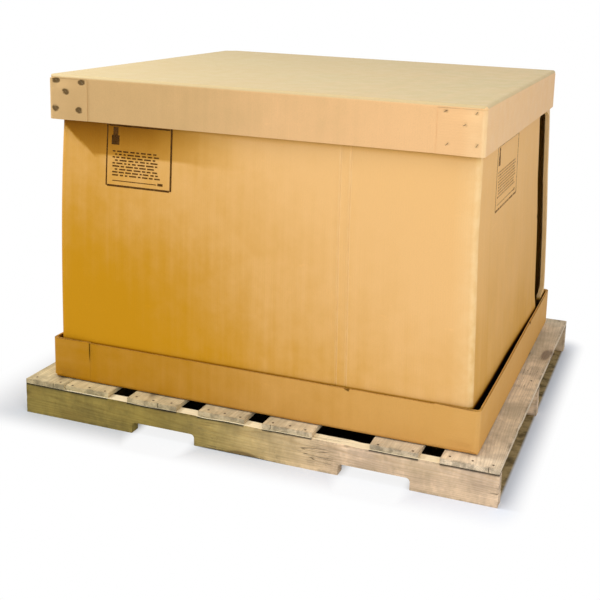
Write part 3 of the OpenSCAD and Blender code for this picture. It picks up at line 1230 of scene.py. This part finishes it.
def build_stick(stick, node, slices, material, shape, seam):
    """Slices, marks and wears a copy of a board or stringer, and makes it the piece that stands for it."""
    mesh = sliced_copy(node, slices)
    mark_faces(mesh, {"grain_point": stick.grain_point, "edge": stick.edge, "seam": seam})
    for vert in mesh.verts:
        vert.co = shape(stick, vert.co)
    return finished_piece(mesh, "pallet_" + node, material, [node])


SEAM_DEPTH = 10 * MM
BOARD_SPANS = [(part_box(node)[0].x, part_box(node)[1].x) for node in TOP_BOARDS]
STRINGER_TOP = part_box("stringer_front")[1].z
NICK_ZONE = 30 * MM
NICK_DEPTH = 7 * MM


def no_painted_light(point, normal):
    return 0.0


def stringer_painted_light(point, normal):
    """1 for painted shade below a deck board's end, and -1 for painted light on the top between two boards.
    """
    if normal.z > 0.7:
        return -1.0
    under = any(low - MM < point.x < high + MM for low, high in BOARD_SPANS)
    return ease((point.z - STRINGER_TOP + SEAM_DEPTH) / SEAM_DEPTH) if under else 0.0


def shape_top_board(stick, point):
    """A worn top board whose upper face is a little below the nail heads."""
    moved = stick.worn(point)
    if point.z > stick.high.z - MM:
        moved.z -= LIFT * (1 + 0.6 * abs(wave(point, 0.06, stick.seed)))
    return moved


def shape_stringer(stick, point):
    """A worn stringer with dented lower corners."""
    moved = stick.worn(point)
    if point.z < stick.low.z + NICK_ZONE:
        nick = clamp(wave((point.x, 0, 0), 0.09, stick.seed + 7) - 0.3)
        moved.z += nick * NICK_DEPTH * (1 - (point.z - stick.low.z) / NICK_ZONE)
    return moved


def build_pallet_wood():
    """The deck boards and the stringers, as their sticks by node."""
    sticks = {}
    for seed, node in enumerate(TOP_BOARDS, start=11):
        stick = sticks[node] = Stick(node, 1, 0, seed)
        slices = stick.slices(BOARD_STEP)
        build_stick(stick, node, slices, DECK_WOOD, shape_top_board, no_painted_light)
    for seed, node in enumerate(STRINGERS, start=41):
        stick = sticks[node] = Stick(node, 0, 2, seed)
        slices = stick.slices(STRINGER_STEP)
        slices += [(1, y) for y in spaced(stick.low.y, stick.high.y, STRINGER_SIDE_STEP)]
        slices += [(2, stick.high.z - SEAM_DEPTH * share) for share in (0.3, 0.6, 1.0)]
        slices += [(0, edge + reach * MM) for span in BOARD_SPANS for edge in span for reach in (-2, 2)
                   if stick.low.x < edge + reach * MM < stick.high.x]
        build_stick(stick, node, slices, STRINGER_WOOD, shape_stringer, stringer_painted_light)
    return sticks


# Nails

NAIL_HEAD_R = 3.8 * MM
NAIL_HEAD_T = 0.9 * MM
NAIL_SIDES = 14
NAIL_FROM_EDGE = 0.3
WIDE_BOARD = 160 * MM


def add_nail_head(mesh, place, draw):
    """A slightly domed, chamfered head whose top lies at the place."""
    profile = [(1.0, -NAIL_HEAD_T), (1.0, -0.3 * MM), (0.86, -0.08 * MM), (0.45, 0.0)]
    turn = draw.uniform(0, math.pi)
    angles = [turn + 2 * math.pi * k / NAIL_SIDES for k in range(NAIL_SIDES)]
    skin(mesh, [[mesh.verts.new(place + Vector((
        NAIL_HEAD_R * share * math.cos(a), NAIL_HEAD_R * share * math.sin(a), rise)))
        for a in angles] for share, rise in profile])


def build_nails(sticks):
    """The nail heads of every deck board at every stringer: two, or three on a wide board."""
    draw = random.Random(23)
    mesh = bmesh.new()
    for node in TOP_BOARDS:
        board = sticks[node]
        half = board.half.x
        rows = (-1, 0, 1) if 2 * half > WIDE_BOARD else (-1, 1)
        for stringer in STRINGERS:
            middle = sticks[stringer].centre.y
            for row in rows:
                x = board.centre.x + row * half * (1 - NAIL_FROM_EDGE) + draw.uniform(-5, 5) * MM
                y = middle + draw.uniform(-7, 7) * MM
                add_nail_head(mesh, Vector((x, y, board.high.z)), draw)
    bmesh.ops.recalc_face_normals(mesh, faces=mesh.faces)
    return finished_piece(mesh, "nail_heads", NAIL_STEEL, sharp=NAIL_SHARP_ANGLE)


# Print on the sleeve: frames, rules and word-long bars that spell nothing

INK_LIFT = 0.35 * MM
INK_STEP = 20 * MM


class Print:
    """Collects thin printed bars on one wall of the sleeve."""

    def __init__(self, wall):
        self.mesh = bmesh.new()
        self.wall = wall

    def point(self, along, z, lift):
        """A point on the bent wall, along its length, at a height, and lifted off it."""
        if self.wall == "front":
            flat, out = Vector((along, sleeve_low.y, z)), Vector((0, -1, 0))
        else:
            flat, out = Vector((sleeve_high.x, along, z)), Vector((1, 0, 0))
        return shape_sleeve(flat) + out * lift

    def bar(self, start, end, half):
        """A closed strip between two (along, z) points, half wide on each side."""
        run = Vector(end) - Vector(start)
        steps = max(1, math.ceil(run.length / INK_STEP))
        side = Vector((-run.y, run.x)).normalized() * half
        rings = []
        for i in range(steps + 1):
            middle = Vector(start) + run * (i / steps)
            corners = [(middle - side, 0.0), (middle + side, 0.0),
                       (middle + side, INK_LIFT), (middle - side, INK_LIFT)]
            rings.append([self.mesh.verts.new(self.point(at.x, at.y, lift)) for at, lift in corners])
        skin(self.mesh, rings)

    def words(self, left, right, z, half, draw):
        """A row of bars about as long as words."""
        x = left
        while x < right - 6 * MM:
            length = min(draw.uniform(7, 26) * MM, right - x)
            self.bar((x, z), (x + length, z), half)
            x += length + draw.uniform(4, 7) * MM

    def done(self, name, material):
        bmesh.ops.recalc_face_normals(self.mesh, faces=self.mesh.faces)
        return finished_piece(self.mesh, name, material)


# Marks as (left, right, low, high)
FRONT_LABEL = (-518 * MM, -288 * MM, 810 * MM, 1010 * MM)
SIDE_LABEL = (-400 * MM, -60 * MM, 803 * MM, 1009 * MM)
THIN_LINE = 2.3 * MM
BOLD_LINE = 3.2 * MM
TEXT_ROWS = 9
TEXT_PITCH = 9.7 * MM


def build_print(wall, label, name, material, seed):
    """A worn contents mark: a frame, a solid mark, rows of word-long bars, and a rule with figures."""
    left, right, low, high = label
    draw = random.Random(seed)
    sheet = Print(wall)
    sheet.bar((left, low), (left, high), THIN_LINE)
    sheet.bar((left + 5 * MM, high - 4 * MM), (right - 5 * MM, high - 4 * MM), THIN_LINE)
    sheet.bar((right, low), (right, high), BOLD_LINE)
    sheet.bar((left + 3 * MM, low), (right - 4 * MM, low), BOLD_LINE)
    mark = left + 30 * MM
    sheet.bar((mark, high - 9 * MM), (mark, high - 35 * MM), 9 * MM)
    sheet.bar((mark, high - 35 * MM), (mark, high - 66 * MM), 14 * MM)
    for row in range(TEXT_ROWS):
        indent = draw.choice((21, 21, 30)) * MM
        z = high - 87 * MM - row * TEXT_PITCH
        sheet.words(left + indent, right - draw.uniform(22, 60) * MM, z, THIN_LINE, draw)
    sheet.bar((left + 22 * MM, low + 17 * MM), (right - 50 * MM, low + 17 * MM), 1.3 * MM)
    sheet.words(right - 46 * MM, right - 18 * MM, low + 18 * MM, 4 * MM, draw)
    return sheet.done(name, material)


# Studio

# How far the painted shadow reaches past the pallet on each side
LEFT_SHADOW = 0.3
RIGHT_SHADOW = 0.09
FRONT_SHADOW = 0.14
# How deep the painted light on the floor reaches in through a fork notch, from and to the end of its fade
NOTCH_DEPTH = (0.12, 0.19)
NOTCHES = [opening["box_m"] for opening in frame["record"]["physics"]["openings"]
           if opening["name"].startswith("fork_notch")]


def floor_zones(graph):
    """Masks of the floor's painted shade: how far it is clear of the painted shadow round the pallet, how
    far it is under the deck, where a dark shade is painted except in the fork notches, which get painted
    light, and how dark that shade is.
    """
    x, y, _ = graph.parts(place(graph))
    half_l, half_w = cad_box[1][0], cad_box[1][1]
    past_x, past_y = abs(x) - half_l, abs(y) - half_w
    side_way = graph.largest(past_x, 0.0) / graph.fade(x, -0.1, 0.1, LEFT_SHADOW, RIGHT_SHADOW)
    front_way = graph.largest(past_y, 0.0) / FRONT_SHADOW
    clear = graph.fade(graph.math("SQRT", side_way * side_way + front_way * front_way), 0.0, 1.0)
    past_edge = graph.largest(past_x, past_y)
    under_deck = graph.fade(past_edge, -0.010, 0.001, 1.0, 0.0)
    in_front = graph.fade(y, NOTCH_DEPTH[0] - half_w, NOTCH_DEPTH[1] - half_w, 1.0, 0.0)
    at_notch = []
    for low, high in NOTCHES:
        middle, half = (low[0] + high[0]) / 2, (high[0] - low[0]) / 2
        at_notch.append(graph.fade(abs(x - middle), half - 0.02, half + 0.05, 1.0, 0.0))
    open_notch = graph.largest(*at_notch) * in_front
    painted_under_deck_shade = under_deck * (1.0 - open_notch)
    lit = graph.largest(clear, open_notch * 0.85)
    return lit, painted_under_deck_shade, graph.fade(past_edge, -0.14, -0.04, 0.1, 1.0)


def seen_directly(graph):
    """1 for what the camera sees, also in a gloss or through a clear surface, and 0 for bounced light."""
    light = graph.add("LightPath")
    return graph.largest(light["Is Camera Ray"], light["Is Glossy Ray"], light["Is Transmission Ray"])


FLOOR_HALF = 30.0


def build_floor():
    """A pale floor that takes the lamps' shadow near the pallet under a painted shadow, grey-blue and
    darker at the left, with a dark brown painted shade under the deck and painted light in the fork
    notches, and looks plain white past them.
    """
    half = FLOOR_HALF
    corners = [(-half, -half, 0), (half, -half, 0), (half, half, 0), (-half, half, 0)]
    data = bpy.data.meshes.new("studio_floor")
    data.from_pydata(corners, [], [(0, 1, 2, 3)])
    material = bpy.data.materials.new("studio floor paper")
    graph = cleared_graph(material)
    seen = seen_directly(graph)
    plain = graph.add("BsdfDiffuse", {"Color": colour(0.82, 0.82, 0.82)})[0]
    clear, painted_under_deck_shade, depth = floor_zones(graph)
    # A mottled, dark brown painted shade under the deck
    under_deck_mottle = graph.noise(place(graph), 22.0, 4.0, 0.65)
    dark = graph.lighten((0.34, 0.25, 0.12), depth * graph.fade(under_deck_mottle, 0.3, 0.7, 0.35, 1.3))
    # The painted shadow round the pallet is darker at the left
    side = graph.fade(graph.parts(place(graph))[0], -1.0, 1.0)
    tone = graph.mix(side, colour(0.54, 0.56, 0.59), colour(0.76, 0.8, 0.88))
    shaded = graph.add("BsdfDiffuse", {"Color": graph.mix(painted_under_deck_shade, tone, dark)})[0]
    white = graph.add("Emission", {"Color": colour(1, 1, 1), "Strength": 1.0})[0]
    shown = graph.add("MixShader", {0: clear, 1: shaded, 2: white})[0]
    graph.add("OutputMaterial", {"Surface": graph.add("MixShader", {0: seen, 1: plain, 2: shown})[0]})
    data.materials.append(material)
    linked("studio_floor", data)


AMBIENT = 0.72


def build_world():
    """An even white surround, seen as plain white."""
    world = bpy.data.worlds.new("white studio")
    graph = cleared_graph(world)
    dim = graph.add("Background", {"Color": colour(1, 1, 1), "Strength": AMBIENT})[0]
    white = graph.add("Background", {"Color": colour(1, 1, 1), "Strength": 1.0})[0]
    shown = graph.add("MixShader", {0: seen_directly(graph), 1: dim, 2: white})[0]
    graph.add("OutputWorld", {"Surface": shown})
    bpy.context.scene.world = world


def area_lamp(name, place, target, power, size):
    data = bpy.data.lights.new(name, "AREA")
    data.energy = power
    data.size = size
    lamp = linked(name, data)
    lamp.location = place
    lamp.rotation_mode = "QUATERNION"
    lamp.rotation_quaternion = (Vector(target) - Vector(place)).to_track_quat("-Z", "Y")


def build_lamps():
    area_lamp("left key", (-2.3, -1.0, 2.5), (0.0, -0.3, 0.8), 42.0, 0.35)
    area_lamp("front right soft box", (2.6, -3.0, 1.9), (0.0, 0.0, 0.6), 36.0, 1.5)
    area_lamp("overhead front", (0.0, -1.6, 3.6), (0.0, -0.3, 0.6), 20.0, 1.2)


# The camera that was fitted to the photograph, with its principal point in pixels from the top left
IMAGE_SIZE = 600
FOCAL_PIXELS = 1008.18
PRINCIPAL_POINT = (345.45, 183.43)
CAMERA_PLACE = (1.2572, -3.3725, 1.4996)
CAMERA_YAW = -0.3394
CAMERA_PITCH = 0.2047
CAMERA_ROLL = 0.0334


def build_camera():
    """The photograph's view: a level-built camera, yawed, pitched down, rolled and shifted."""
    yaw, pitch, roll = CAMERA_YAW, CAMERA_PITCH, CAMERA_ROLL
    forward = Vector((math.sin(yaw) * math.cos(pitch), math.cos(yaw) * math.cos(pitch), -math.sin(pitch)))
    level = Vector((math.cos(yaw), -math.sin(yaw), 0.0))
    rise = level.cross(forward)
    right = level * math.cos(roll) + rise * math.sin(roll)
    up = rise * math.cos(roll) - level * math.sin(roll)
    data = bpy.data.cameras.new("photo camera")
    data.lens = FOCAL_PIXELS * data.sensor_width / IMAGE_SIZE
    data.shift_x = (IMAGE_SIZE / 2 - PRINCIPAL_POINT[0]) / IMAGE_SIZE
    data.shift_y = (PRINCIPAL_POINT[1] - IMAGE_SIZE / 2) / IMAGE_SIZE
    camera = linked("photo camera", data)
    turned = Matrix((right, up, -forward)).transposed().to_4x4()
    camera.matrix_world = Matrix.Translation(CAMERA_PLACE) @ turned
    bpy.context.scene.camera = camera


def build_all():
    staples = staple_places(random.Random(5))
    build_lid(staples)
    build_staples(staples)
    build_tray()
    build_sleeve()
    build_print("front", FRONT_LABEL, "front_print", PRINT, 3)
    build_print("side", SIDE_LABEL, "side_print", FAINT_PRINT, 8)
    sticks = build_pallet_wood()
    build_nails(sticks)
    build_floor()
    build_world()
    build_lamps()
    build_camera()
    bpy.context.scene.view_settings.view_transform = "Standard"


build_all()
